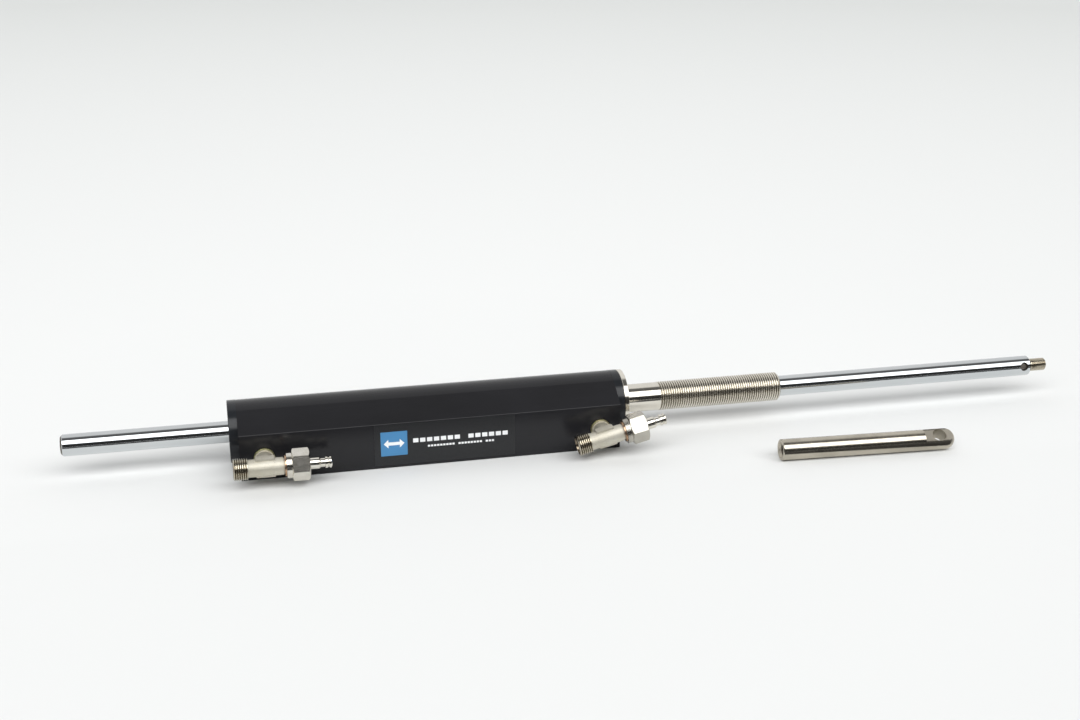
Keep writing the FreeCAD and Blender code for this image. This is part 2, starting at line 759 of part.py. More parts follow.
def make_tee(end):
    """Cast tee: hose thread at -X, bleeder seat at +X, and a spigot that turns in the port at +Y."""
    run = size.run_diameter / 2
    thread_radius = size.hose_thread_diameter / 2
    thread_end = -size.run_rear_reach - size.hose_thread_length
    undercut = size.run_undercut_diameter / 2
    body = turned_part(f"{end}_tee_body", [
        (thread_end, 0),
        (thread_end, thread_radius - 0.9),
        (thread_end + 0.9, thread_radius),
        (-size.run_rear_reach, thread_radius),
        (-size.run_rear_reach, run),
        (size.run_front_reach - size.run_undercut_width, run),
        (size.run_front_reach - size.run_undercut_width, undercut),
        (size.run_front_reach, undercut),
        (size.run_front_reach, 0),
    ])

    saddle = new_sketch(body, "XZ", "saddle_outline")
    half_width = size.saddle_width / 2
    draw_outline(saddle, [
        (-half_width, -size.saddle_bottom),
        (half_width, -size.saddle_bottom),
        (half_width, size.saddle_top),
        (-half_width, size.saddle_top),
    ])
    block = body.newObject("PartDesign::Pad", "saddle")
    block.Profile = saddle
    block.SideType = "Two sides"
    bind(block, "Length", size.saddle_front)
    bind(block, "Length2", size.saddle_back)
    document.recompute()
    corner_edges = []
    for number, edge in enumerate(block.Shape.Edges, start=1):
        first, last = edge.Vertexes[0].Point, edge.Vertexes[-1].Point
        at_side = abs(abs(first.x) - half_width.value) < 0.01
        heights = (size.saddle_top.value, -size.saddle_bottom.value)
        at_rim = min(abs(first.z - height) for height in heights) < 0.01
        if at_side and at_rim and abs(first.y - last.y) > 1:
            corner_edges.append(f"Edge{number}")
    rounding = body.newObject("PartDesign::Fillet", "saddle_corners")
    rounding.Base = (block, corner_edges)
    bind(rounding, "Radius", size.saddle_corner_radius)

    flange_end = size.run_standoff - size.port_washer_thickness - size.joint_gap
    flange_start = flange_end - size.branch_flange_thickness
    spigot_end = size.run_standoff + size.spigot_length
    groove_start = size.run_standoff + size.spigot_groove_start
    groove_end = groove_start + size.spigot_groove_width
    groove_floor = size.spigot_groove_floor / 2
    spigot = size.port_seat_diameter / 2 - size.running_clearance
    branch = size.branch_diameter / 2
    flange = size.branch_flange_diameter / 2
    steps = [
        (2, 0), (2, branch), (flange_start, branch), (flange_start, flange),
        (flange_end, flange), (flange_end, spigot), (groove_start, spigot),
        (groove_start, groove_floor), (groove_end, groove_floor), (groove_end, spigot),
        (spigot_end, spigot), (spigot_end, 0),
    ]
    corners = [(radius, along) for along, radius in steps]
    turn_profile(body, "Revolution", corners, "branch", plane="XY", axis="V_Axis")

    socket = size.hose_socket_diameter / 2
    cone_end = thread_end + size.hose_cone_depth
    socket_end = thread_end + size.hose_cone_depth + size.hose_socket_depth
    seat_start = size.run_front_reach - size.bleed_seat_depth
    seat = size.bleed_seat_diameter / 2
    turn_profile(body, "Groove", [
        (thread_end - 1, 0),
        (thread_end - 1, size.hose_cone_diameter / 2),
        (thread_end, size.hose_cone_diameter / 2),
        (cone_end, socket),
        (socket_end, socket),
        (socket_end, size.run_bore / 2),
        (seat_start, size.run_bore / 2),
        (seat_start, seat),
        (size.run_front_reach + 1, seat),
        (size.run_front_reach + 1, 0),
    ], "run_bores")
    bore = size.branch_bore / 2
    corners = [(0, 0), (bore, 0), (bore, spigot_end + 1), (0, spigot_end + 1)]
    turn_profile(body, "Groove", corners, "branch_bore", plane="XY", axis="V_Axis")
    cut_thread(
        body, thread_end + size.hose_thread_pitch, thread_radius, size.hose_thread_pitch,
        size.hose_thread_turns, size.hose_thread_depth, "hose_thread",
    )
    keep(place(body, **fitting_spot(end)))

    middle = groove_start + size.spigot_groove_width / 2
    spot = fitting_spot(end)
    oring(
        f"{end}_tee_oring", groove_floor + 0.02 + size.tee_oring_section / 2,
        size.tee_oring_section, AXIS_TO_Y, x=spot["x"], y=spot["y"] + middle, z=spot["z"],
    )
    washer = ring_corners(size.run_front_reach + 0.05, size.copper_washer_thickness,
                          seat + 0.2, size.copper_washer_diameter / 2)
    keep(place(turned_part(f"{end}_copper_washer", washer), **fitting_spot(end)))


def make_port_washer(end):
    """Sealing washer between the tee's branch and the barrel's front face."""
    body = new_body(f"{end}_port_washer")
    corners = [
        (size.port_seat_diameter / 2 + size.running_clearance, 0),
        (size.port_washer_diameter / 2, 0),
        (size.port_washer_diameter / 2, size.port_washer_thickness),
        (size.port_seat_diameter / 2 + size.running_clearance, size.port_washer_thickness),
    ]
    turn_profile(body, "Revolution", corners, f"{end}_washer", plane="XY", axis="V_Axis")
    spot = fitting_spot(end)
    washer_y = -size.front_face_offset - size.port_washer_thickness
    keep(place(body, x=spot["x"], y=washer_y, z=spot["z"]))


def make_bleeder(end, hex_angle):
    """Bleed screw: a collared hexagon that turns in the tee, and a hose nipple in its centre."""
    start = size.run_front_reach + 0.1 + size.copper_washer_thickness + size.joint_gap / 2
    hex_start = start + size.collar_length
    hex_end = hex_start + size.hex_length
    spigot = size.bleed_seat_diameter / 2 - size.running_clearance
    corner = size.hex_across_flats / math.sqrt(3)
    tail_bore = size.nipple_tail_diameter / 2 + size.running_clearance
    screw = turned_part(f"{end}_bleed_screw", [
        (start - size.hex_spigot_length, tail_bore),
        (start - size.hex_spigot_length, spigot),
        (start, spigot),
        (start, size.collar_diameter / 2),
        (hex_start, size.collar_diameter / 2),
        (hex_start, corner - 2 * size.hex_chamfer),
        (hex_start + size.hex_chamfer, corner),
        (hex_end - size.hex_chamfer, corner),
        (hex_end, corner - 2 * size.hex_chamfer),
        (hex_end, tail_bore),
    ])
    flats = new_sketch(screw, "YZ", "hex_flats", offset=hex_start, turn=hex_angle)
    draw_hexagon(flats, size.hex_across_flats)
    draw_circle(flats, 0, 0, corner + 3)
    cut_pocket(screw, flats, "hex_cut", size.hex_length, reverse=True)
    keep(place(screw, **fitting_spot(end)))

    stem_start = hex_end + size.joint_gap / 2
    stem_end = stem_start + size.nipple_stem_length
    neck_end = stem_end + size.nipple_neck_length
    first_end = neck_end + size.nipple_ridge_length
    second_start = first_end + size.nipple_ridge_gap
    tip = second_start + size.nipple_ridge_length
    tail = size.nipple_tail_diameter / 2
    stem = size.nipple_stem_diameter / 2
    neck = size.nipple_neck_diameter / 2
    ridge = size.nipple_ridge_diameter / 2
    nipple = turned_part(f"{end}_bleed_nipple", [
        (stem_start - size.nipple_tail_length, size.nipple_bore / 2),
        (stem_start - size.nipple_tail_length, tail),
        (stem_start, tail),
        (stem_start, stem),
        (stem_end, stem),
        (stem_end + stem - neck, neck),
        (neck_end - 0.3, neck),
        (neck_end, ridge),
        (first_end - 0.5, ridge),
        (first_end, ridge - 0.6),
        (second_start, ridge - 0.6),
        (second_start + 0.3, ridge),
        (tip - 0.6, ridge),
        (tip, ridge - 0.9),
        (tip, size.nipple_bore / 2),
    ])
    keep(place(nipple, **fitting_spot(end)))


# ---------------------------------------------------------------- label and loose extension

def make_label():
    """Thin plate stuck to the middle of the front face."""
    plate = document.addObject("Part::Box", "name_plate")
    plate.Label = "name_plate"
    bind(plate, "Length", size.label_rear + size.label_front)
    bind(plate, "Width", size.label_thickness)
    bind(plate, "Height", size.label_top + size.label_bottom)
    label_y = -size.front_face_offset - size.label_thickness
    keep(place(plate, x=-size.label_rear, y=label_y, z=size.rod_axis_height - size.label_bottom))


def make_extension():
    """Rod-end extension: a threaded socket at one end, and a ball nose with an eye at the other."""
    length = size.extension_length
    edge = size.extension_edge_chamfer
    bore = size.extension_bore / 2
    mouth = size.extension_mouth_diameter / 2
    body = turned_part("rod_end_extension", [
        (0, mouth),
        (0, rod_radius - edge),
        (edge, rod_radius),
        (length, rod_radius),
        (length, 0),
        (size.extension_bore_depth + bore, 0),
        (size.extension_bore_depth, bore),
        (mouth - bore, bore),
    ])
    nose = new_sketch(body, "XZ", "nose_outline")
    centre_x = (length - rod_radius).value
    radius = rod_radius.value
    circle = Part.Circle(Vector(centre_x, 0, 0), Vector(0, 0, 1), radius)
    nose.addGeometry(Part.ArcOfCircle(circle, 0, math.pi / 2), False)
    path = [(centre_x, radius), (centre_x, radius + 1), (centre_x + radius + 1, radius + 1),
            (centre_x + radius + 1, 0), (centre_x + radius, 0)]
    for (x, z), (next_x, next_z) in zip(path, path[1:]):
        nose.addGeometry(Part.LineSegment(Vector(x, z, 0), Vector(next_x, next_z, 0)), False)
    nose.addConstraint(Sketcher.Constraint("Coincident", 0, 2, 1, 1))
    nose.addConstraint(Sketcher.Constraint("Coincident", 4, 2, 0, 1))
    for index in range(1, 4):
        nose.addConstraint(Sketcher.Constraint("Coincident", index, 2, index + 1, 1))
    hold_point(nose, 0, 3, length - rod_radius, 0)
    hold_point(nose, 1, 1, length - rod_radius, rod_radius)
    hold_point(nose, 2, 1, length - rod_radius, rod_radius + 1)
    hold_point(nose, 3, 1, length + 1, rod_radius + 1)
    hold_point(nose, 4, 1, length + 1, 0)
    nose.addConstraint(Sketcher.Constraint("PointOnObject", 0, 1, -1))
    ball = body.newObject("PartDesign::Groove", "ball_nose")
    ball.Profile = nose
    ball.ReferenceAxis = (nose, ["H_Axis"])
    bind(ball, "Angle", 360.0)

    flats = new_sketch(body, "XZ", "eye_flats")
    half_thickness = size.extension_flat_thickness / 2
    for side in (1, -1):
        draw_outline(flats, [
            (length - size.extension_flat_length, side * half_thickness),
            (length + 1, side * half_thickness),
            (length + 1, side * (rod_radius + 1)),
            (length - size.extension_flat_length, side * (rod_radius + 1)),
        ])
    cut_pocket(body, flats, "eye_flat_cuts")

    eye = new_sketch(body, "XY", "eye_circle")
    draw_circle(eye, length - size.extension_eye_inset, 0, size.extension_eye_diameter / 2)
    cut_pocket(body, eye, "eye_hole")

    roll = Rotation(Vector(1, 0, 0), size.extension_roll.value)
    yaw = Rotation(Vector(0, 0, 1), size.extension_yaw.value)
    keep(place(
        body, x=size.extension_rear_distance, y=-size.extension_gap, z=rod_radius,
        rotation=yaw.multiply(roll),
    ))


# ---------------------------------------------------------------- assembly

make_barrel()
make_gland_set("rear", -gland_outer_x, Rotation())
make_gland_set("front", gland_outer_x, HALF_TURN)
make_rear_wiper()
make_support_tube()
make_rod()
make_piston()
for end_name, angle in (("rear", size.rear_hex_angle), ("front", size.front_hex_angle)):
    make_port_washer(end_name)
    make_tee(end_name)
    make_bleeder(end_name, angle)
make_label()
make_extension()
document.recompute()

for thing in document.Objects:
    if {"Invalid", "Error"} & set(thing.State):
        raise ValueError(f"{thing.Label} is {thing.State}")
for thing in sub_parts:
    if thing.Shape.isNull() or not thing.Shape.isValid() or len(thing.Shape.Solids) != 1:
        raise ValueError(f"{thing.Label} is not one valid solid")

os.makedirs("parts", exist_ok=True)
for thing in sub_parts:
    thing.Shape.exportStep(os.path.join("parts", f"{thing.Label}.step"))
print(f"{len(sub_parts)} sub-parts written")
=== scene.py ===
import json
import math

import bpy
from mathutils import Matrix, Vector


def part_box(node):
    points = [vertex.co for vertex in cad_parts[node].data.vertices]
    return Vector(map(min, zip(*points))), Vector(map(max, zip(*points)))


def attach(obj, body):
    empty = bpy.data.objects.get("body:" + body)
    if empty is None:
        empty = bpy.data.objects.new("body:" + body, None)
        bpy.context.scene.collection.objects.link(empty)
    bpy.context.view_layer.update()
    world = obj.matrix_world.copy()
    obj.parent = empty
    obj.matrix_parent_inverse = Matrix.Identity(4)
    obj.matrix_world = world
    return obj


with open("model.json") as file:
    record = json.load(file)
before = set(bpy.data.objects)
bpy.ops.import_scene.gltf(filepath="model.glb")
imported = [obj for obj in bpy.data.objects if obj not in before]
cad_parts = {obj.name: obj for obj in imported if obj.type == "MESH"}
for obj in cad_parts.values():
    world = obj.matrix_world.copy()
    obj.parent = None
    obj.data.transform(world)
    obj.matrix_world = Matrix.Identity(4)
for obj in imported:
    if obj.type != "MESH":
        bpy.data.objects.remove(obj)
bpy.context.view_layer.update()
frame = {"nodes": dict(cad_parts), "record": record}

# Looks of a double-ended hydraulic steering cylinder. Metres, in the frame of the CAD part:
# X along the rod towards the threaded stud, -Y the port side, +Z up, floor at z = 0.

scene = bpy.context.scene
nodes = frame["nodes"]
MM = 0.001

# ---------------------------------------------------------------- places read from the CAD part

rod_lo, rod_hi = [Vector(v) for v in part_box("piston_rod")]
plate_lo, plate_hi = [Vector(v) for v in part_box("name_plate")]
MOUNTS = {mount["name"]: mount for mount in frame["record"]["mounts"]}
ROD_LINE = ((0.0, 0.0, (rod_lo.z + rod_hi.z) / 2), (1.0, 0.0, 0.0))
EXTENSION_LINE = (MOUNTS["extension_socket"]["pos_m"], MOUNTS["extension_socket"]["axis"])

STUD_LENGTH = 13.6 * MM
STUD_START = rod_hi.x - STUD_LENGTH
ROD_WALL = (7.2 * MM, 7.7 * MM)         # nearer the axis than this is a hole's wall or the stud
SPANNER_FLAT = (7.0 * MM, 7.7 * MM)     # nearer the extension's axis than this is a milled face
THREAD_EDGE = 0.1 * MM                  # how sharply a thread's finish starts
TUBE_PLAIN = 36.8 * MM                  # from the back of the tube's flange to its thread
TUBE_THREAD_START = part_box("support_tube")[0].x + TUBE_PLAIN

# A thread's axis, the radii of its grooves and crests, and where along the axis it starts.
STUD_THREAD = (ROD_LINE, 4.5 * MM, 4.95 * MM, STUD_START)
TUBE_THREAD = (ROD_LINE, 10.2 * MM, 10.95 * MM, TUBE_THREAD_START)
HOSE_THREAD_RADII = (7.25 * MM, 7.9 * MM)
HOSE_THREAD_START = -3.9 * MM           # from its mount, along its axis

# ---------------------------------------------------------------- node graph helpers


class Graph:
    """A node tree, with short calls for the nodes that the finishes and the room share."""

    def __init__(self, tree):
        self.tree = tree

    def add(self, kind, **settings):
        node = self.tree.nodes.new(kind)
        for key, value in settings.items():
            setattr(node, key, value)
        return node

    def link(self, source, target):
        self.tree.links.new(source, target)

    def put(self, socket, value):
        if hasattr(value, "is_output"):
            self.link(value, socket)
        else:
            socket.default_value = value

    def vector(self, operation, a, b=None):
        node = self.add("ShaderNodeVectorMath", operation=operation)
        self.link(a, node.inputs[0])
        if b is not None:
            node.inputs[1].default_value = b
        return node

    def fit(self, value, low, high, out_low=0.0, out_high=1.0):
        node = self.add("ShaderNodeMapRange")
        self.put(node.inputs["Value"], value)
        for key, number in (("From Min", low), ("From Max", high),
                            ("To Min", out_low), ("To Max", out_high)):
            node.inputs[key].default_value = number
        return node.outputs["Result"]

    def math(self, operation, a, b=0.0):
        node = self.add("ShaderNodeMath", operation=operation)
        self.put(node.inputs[0], a)
        self.put(node.inputs[1], b)
        return node.outputs[0]

    def blend(self, factor, a, b):
        node = self.add("ShaderNodeMix", data_type="RGBA")
        self.put(node.inputs["Factor"], factor)
        self.put(node.inputs[6], a)
        self.put(node.inputs[7], b)
        return node.outputs[2]


class Finish(Graph):
    """A material, with textures placed by the part's own frame."""

    def __init__(self, name, **settings):
        self.material = bpy.data.materials.new(name)
        self.material.use_nodes = True
        super().__init__(self.material.node_tree)
        self.shader = self.tree.nodes["Principled BSDF"]
        self.position = self.add("ShaderNodeTexCoord").outputs["Object"]
        for key, value in settings.items():
            self.shader.inputs[key.replace("_", " ")].default_value = value

    def stretched(self, scale):
        mapping = self.add("ShaderNodeMapping")
        mapping.inputs["Scale"].default_value = scale
        self.link(self.position, mapping.inputs["Vector"])
        return mapping.outputs["Vector"]

    def noise(self, scale, stretch=(1, 1, 1), detail=3.0, rough=0.55):
        node = self.add("ShaderNodeTexNoise")
        node.inputs["Scale"].default_value = scale
        node.inputs["Detail"].default_value = detail
        node.inputs["Roughness"].default_value = rough
        self.link(self.stretched(stretch), node.inputs["Vector"])
        return node.outputs["Fac"]

    def cells(self, scale):
        node = self.add("ShaderNodeTexVoronoi")
        node.inputs["Scale"].default_value = scale
        self.link(self.position, node.inputs["Vector"])
        return node.outputs["Distance"]

    def from_line(self, point, direction):
        """How far the surface is from a line, and how far along the line from its point."""
        away = self.vector("SUBTRACT", self.position, point).outputs[0]
        across = self.vector("CROSS_PRODUCT", away, direction).outputs[0]
        along = self.vector("DOT_PRODUCT", away, direction).outputs["Value"]
        return self.vector("LENGTH", across).outputs["Value"], along

    def bump(self, height, distance, strength, under=None):
        node = self.add("ShaderNodeBump")
        node.inputs["Distance"].default_value = distance
        node.inputs["Strength"].default_value = strength
        self.link(height, node.inputs["Height"])
        if under is not None:
            self.link(under, node.inputs["Normal"])
        return node.outputs["Normal"]

    def finish(self, colour=None, roughness=None, normal=None):
        for key, value in (("Base Color", colour), ("Roughness", roughness),
                           ("Normal", normal)):
            if value is not None:
                self.put(self.shader.inputs[key], value)
        return self.material


def rgb(r, g, b):
    return (r, g, b, 1.0)


def lighter(colour, r, g, b):
    """A colour with each of its parts times its own factor."""
    return rgb(colour[0] * r, colour[1] * g, colour[2] * b)


# ---------------------------------------------------------------- finishes

# A texture's scale along X, Y and Z, for lines along the rod or round it.
DRAWN = (0.02, 1, 1)
TURNED = (1, 0.1, 0.1)


def in_thread(g, line, root, crest, start):
    """One at the bottom of a thread's grooves, and nought on its crests and before its start."""
    radius, along = g.from_line(*line)
    depth = g.fit(radius, root, crest, 1.0, 0.0)
    return g.math("MULTIPLY", depth, g.fit(along, start, start + THREAD_EDGE))


def chrome():
    """The rod's polished chrome, with painted shade in its holes and a plain steel stud."""
    g = Finish("chrome_rod", Metallic=1.0)
    streaks = g.noise(900, (0.06, 1, 1), 4)
    polish = g.noise(2600, (1, 0.15, 0.15), 2)
    cloud = g.noise(30, (0.4, 1, 1), 3)
    tone = g.blend(g.fit(cloud, 0.35, 0.65), rgb(0.60, 0.625, 0.64), rgb(0.64, 0.66, 0.67))
    rough = g.fit(g.math("ADD", streaks, polish), 0.8, 1.3, 0.045, 0.085)
    radius, along = g.from_line(*ROD_LINE)
    hole_shade_or_stud = g.fit(radius, *ROD_WALL, 1.0, 0.0)
    stud = g.fit(along, STUD_START - 0.2 * MM, STUD_START)
    # Painted shade: the walls of the holes near the axis are darkened to dark brown; the stud
    # keeps its own steel colour.
    tone = g.blend(hole_shade_or_stud, tone, g.blend(stud, rgb(0.10, 0.085, 0.07), rgb(0.58, 0.53, 0.43)))
    # Painted shade: the bottoms of the stud's thread grooves are darkened.
    groove_shade = in_thread(g, *STUD_THREAD)
    tone = g.blend(g.math("MULTIPLY", groove_shade, 0.6), tone, rgb(0.10, 0.085, 0.065))
    return g.finish(tone, g.math("ADD", rough, g.math("MULTIPLY", hole_shade_or_stud, 0.12)),
                    g.bump(streaks, 0.000004, 0.5))


def turned_metal(name, light, dark, rough_low, rough_high, thread=None, milled=None):
    """Turned metal, with a duller thread, or a duller milled face near the axis `milled`."""
    g = Finish(name, Metallic=1.0)
    turning = g.noise(2400, TURNED, 3)
    cloud = g.noise(60, (1, 1, 1), 4)
    tone = g.blend(g.fit(cloud, 0.35, 0.65), dark, light)
    tone = g.blend(g.fit(turning, 0.35, 0.7, 0.0, 0.35), tone, light)
    rough = g.fit(turning, 0.3, 0.7, rough_low, rough_high)
    if thread is not None:
        # Painted shade: the bottoms of the thread's grooves are darkened.
        groove_shade = g.math("MULTIPLY", in_thread(g, *thread), 0.8)
        tone = g.blend(groove_shade, tone, rgb(0.17, 0.145, 0.105))
        line, _, _, start = thread
        _, along = g.from_line(*line)
        rough = g.math("ADD", rough, g.fit(along, start, start + THREAD_EDGE, 0.0, 0.14))
    if milled is not None:
        radius, _ = g.from_line(*milled)
        rough = g.math("ADD", rough, g.fit(radius, *SPANNER_FLAT, 0.22, 0.0))
    return g.finish(tone, rough, g.bump(turning, 0.00001, 0.6))


def anodised(name, base, rough_low, rough_high, grain, line_share):
    """Black anodising over the fine lines of drawing or turning, with smudges."""
    g = Finish(name, Metallic=0.0, IOR=1.45)
    g.shader.inputs["Specular IOR Level"].default_value = 0.32
    lines = g.noise(1500, grain, 3)
    grit = g.noise(5200, (1, 1, 1), 2)
    smudge = g.noise(22, (0.6, 1, 1), 4)
    tone = g.blend(g.fit(smudge, 0.3, 0.7), base, lighter(base, 1.25, 1.25, 1.3))
    bright = lighter(base, 1.8, 1.8, 1.8)
    tone = g.blend(g.fit(lines, 0.55, 0.8, 0.0, line_share), tone, bright)
    rough = g.fit(g.math("ADD", smudge, lines), 0.7, 1.3, rough_low, rough_high)
    lined = g.bump(lines, 0.00001, 0.35)
    return g.finish(tone, rough, g.bump(grit, 0.000006, 0.35, lined))


def cast_nickel(end):
    """A tee's ground run and spigot, with a polished hose thread at its end."""
    g = Finish(f"nickel_brass_{end}", Metallic=1.0)
    grain = g.noise(1500, (1, 1, 1), 4, 0.65)
    pits = g.cells(950)
    cloud = g.noise(90, (1, 1, 1), 3)
    tone = g.blend(g.fit(cloud, 0.3, 0.7), rgb(0.62, 0.585, 0.49), rgb(0.71, 0.685, 0.605))
    speck = g.math("MULTIPLY", g.fit(pits, 0.16, 0.28, 1.0, 0.0), g.fit(grain, 0.5, 0.6))
    tone = g.blend(g.math("MULTIPLY", speck, 0.7), tone, rgb(0.20, 0.15, 0.10))
    mount = MOUNTS[f"{end}_hose_thread"]
    line = (mount["pos_m"], mount["axis"])
    # Painted shade: the bottoms of the hose thread's grooves are darkened.
    groove_shade = in_thread(g, line, *HOSE_THREAD_RADII, HOSE_THREAD_START)
    tone = g.blend(g.math("MULTIPLY", groove_shade, 0.85), tone, rgb(0.16, 0.12, 0.075))
    _, along = g.from_line(*line)
    cast = g.fit(along, HOSE_THREAD_START - 0.3 * MM, HOSE_THREAD_START, 1.0, 0.0)
    rough = g.math("ADD", g.fit(grain, 0.3, 0.7, 0.14, 0.28), g.math("MULTIPLY", cast, 0.40))
    ground = g.bump(g.math("MULTIPLY", grain, g.fit(cast, 0.0, 1.0, 0.08, 1.0)), 0.00018, 0.9)
    return g.finish(tone, rough, g.bump(g.fit(pits, 0.1, 0.3), 0.00005, 0.4, ground))


def plated(end, dark, light, grit):
    """A bleed screw's plate, with specks that stand `grit` metres proud."""
    g = Finish(f"nickel_plated_{end}", Metallic=1.0)
    speck = g.noise(3200, (1, 1, 1), 3, 0.7)
    cloud = g.noise(110, (1, 1, 1), 3)
    tone = g.blend(g.fit(cloud, 0.3, 0.7), dark, light)
    tone = g.blend(g.fit(speck, 0.56, 0.68, 0.0, 0.55), tone, rgb(0.34, 0.29, 0.22))
    rough = g.fit(speck, 0.35, 0.7, 0.10, 0.22)
    return g.finish(tone, rough, g.bump(speck, grit, 0.8))


def turned_nickel():
    g = Finish("nickel_brass_turned", Metallic=1.0)
    turning = g.noise(2200, (1, 0.2, 0.2), 2)
    cloud = g.noise(120, (1, 1, 1), 3)
    tone = g.blend(g.fit(cloud, 0.3, 0.7), rgb(0.72, 0.69, 0.61), rgb(0.80, 0.78, 0.72))
    rough = g.fit(turning, 0.3, 0.7, 0.05, 0.12)
    return g.finish(tone, rough, g.bump(turning, 0.00001, 0.4))


def zinc():
    g = Finish("zinc_washer", Metallic=1.0)
    hue = g.noise(160, (1, 1, 1), 3)
    tone = g.blend(g.fit(hue, 0.35, 0.65), rgb(0.50, 0.52, 0.30), rgb(0.62, 0.55, 0.36))
    grain = g.noise(2400, (1, 1, 1), 2)
    return g.finish(tone, g.fit(grain, 0.3, 0.7, 0.22, 0.38), g.bump(grain, 0.00002, 0.5))


def copper():
    g = Finish("copper_washer", Metallic=1.0)
    hue = g.noise(140, (1, 1, 1), 3)
    tone = g.blend(g.fit(hue, 0.35, 0.65), rgb(0.44, 0.27, 0.16), rgb(0.58, 0.39, 0.26))
    grain = g.noise(2200, (1, 1, 1), 2)
    return g.finish(tone, g.fit(grain, 0.3, 0.7, 0.2, 0.34), g.bump(grain, 0.00002, 0.5))


def soft(name, light, dark, rough):
    """Rubber or plastic."""
    g = Finish(name, Metallic=0.0)
    grain = g.noise(2600, (1, 1, 1), 3)
    cloud = g.noise(120, (1, 1, 1), 2)
    tone = g.blend(g.fit(cloud, 0.3, 0.7), dark, light)
    return g.finish(tone, g.fit(grain, 0.3, 0.7, rough - 0.08, rough + 0.08),
                    g.bump(grain, 0.00002, 0.5))


def film(name, base, rough):
    """The label's film and the inks on it."""
    g = Finish(name, Metallic=0.0)
    g.shader.inputs["Specular IOR Level"].default_value = 0.4
    ripple = g.noise(45, (1, 1, 1), 3)
    dust = g.noise(4200, (1, 1, 1), 2)
    tone = g.blend(g.fit(ripple, 0.3, 0.7), base, lighter(base, 1.12, 1.12, 1.12))
    return g.finish(tone, g.fit(dust, 0.3, 0.7, rough - 0.04, rough + 0.05),
                    g.bump(ripple, 0.00004, 0.25))


FINISHES = {
    "chrome_rod": chrome(),
    "stainless_tube": turned_metal("stainless_tube", rgb(0.80, 0.765, 0.69),
                                   rgb(0.70, 0.665, 0.59), 0.06, 0.14, thread=TUBE_THREAD),
    "stainless_extension": turned_metal("stainless_extension", rgb(0.56, 0.52, 0.44),
                                        rgb(0.44, 0.405, 0.34), 0.14, 0.22,
                                        milled=EXTENSION_LINE),
    "black_anodised": anodised("black_anodised", rgb(0.0125, 0.0125, 0.0138), 0.16, 0.22,
                               DRAWN, 0.25),
    "black_anodised_gland": anodised("black_anodised_gland", rgb(0.0150, 0.0165, 0.0185),
                                     0.13, 0.18, TURNED, 0.08),
    "nickel_brass": cast_nickel("rear"),
    "nickel_brass_turned": turned_nickel(),
    "zinc_washer": zinc(),
    "copper_washer": copper(),
    "seal_rubber": soft("seal_rubber", rgb(0.020, 0.020, 0.021), rgb(0.012, 0.012, 0.013), 0.6),
    "seal_urethane": soft("seal_urethane", rgb(0.06, 0.16, 0.28), rgb(0.04, 0.12, 0.22), 0.4),
    "bronze_bush": turned_metal("bronze_bush", rgb(0.52, 0.35, 0.18), rgb(0.40, 0.26, 0.12),
                                0.25, 0.4),
    "acetal_ring": soft("acetal_ring", rgb(0.75, 0.73, 0.66), rgb(0.68, 0.66, 0.60), 0.45),
    "spring_steel": turned_metal("spring_steel", rgb(0.14, 0.14, 0.15), rgb(0.09, 0.09, 0.10),
                                 0.3, 0.45),
    "piston_aluminium": turned_metal("piston_aluminium", rgb(0.74, 0.74, 0.75),
                                     rgb(0.64, 0.64, 0.66), 0.2, 0.32),
    "label_film": film("label_film", rgb(0.0125, 0.013, 0.0145), 0.30),
}
SLOT_OF = {part["node"]: part["material_slot"] for part in frame["record"]["subparts"]}
OWN_FINISH = {
    "front_tee_body": cast_nickel("front"),
    "rear_bleed_screw": plated("rear", rgb(0.66, 0.63, 0.56), rgb(0.75, 0.73, 0.67), 0.00003),
    # The front screw's plating is a darker copy of the rear's: painted shade that holds down the
    # softbox highlight on its flats.
    "front_bleed_screw": plated("front", rgb(0.43, 0.41, 0.36), rgb(0.52, 0.50, 0.45), 0.00016),
}
for name, obj in nodes.items():
    obj.data.materials.clear()
    obj.data.materials.append(OWN_FINISH.get(name) or FINISHES[SLOT_OF[name]])

# ---------------------------------------------------------------- print on the name plate

PRINT_THICKNESS = 0.04 * MM
PRINT_FACE = plate_lo.y
CORNER_STEPS = 6
PANEL_CORNER = 0.3 * MM
BLOCK_CORNER = 0.25 * MM
BLOCK_SHARE = 0.76          # of the pitch from one block to the next
SHAFT_SHARE = 0.36          # of the arrow's head
BLUE_INK = film("print_blue", rgb(0.056, 0.207, 0.413), 0.32)
WHITE_INK = film("print_white", rgb(0.78, 0.79, 0.80), 0.38)


def printed(name, outlines, ink, lift=0.0):
    """A thin raised print from outlines of (x, z) points, facing -Y, `lift` off the plate."""
    mesh = bpy.data.meshes.new(name)
    points, faces = [], []
    for outline in outlines:
        start = len(points)
        count = len(outline)
        for back in (0.0, PRINT_THICKNESS):
            for x, z in outline:
                points.append((x, PRINT_FACE - lift - back, z))
        faces.append([start + k for k in reversed(range(count))])
        faces.append([start + count + k for k in range(count)])
        for k in range(count):
            after = (k + 1) % count
            faces.append([start + k, start + after, start + count + after, start + count + k])
    mesh.from_pydata(points, [], faces)
    mesh.update()
    obj = bpy.data.objects.new(name, mesh)
    scene.collection.objects.link(obj)
    obj.data.materials.append(ink)
    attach(obj, "cylinder_body")


def rounded(x0, x1, z0, z1, radius):
    """The outline of a rectangle with rounded corners."""
    outline = []
    for cx, cz, first in ((x1 - radius, z1 - radius, 0), (x0 + radius, z1 - radius, 90),
                          (x0 + radius, z0 + radius, 180), (x1 - radius, z0 + radius, 270)):
        for k in range(CORNER_STEPS + 1):
            a = math.radians(first + 90 * k / CORNER_STEPS)
            outline.append((cx + radius * math.cos(a), cz + radius * math.sin(a)))
    return outline


def from_plate(x0, x1, z0, z1):
    """Millimetres from the plate's lower left corner, as places in the frame."""
    return (plate_lo.x + x0 * MM, plate_lo.x + x1 * MM,
            plate_lo.z + z0 * MM, plate_lo.z + z1 * MM)


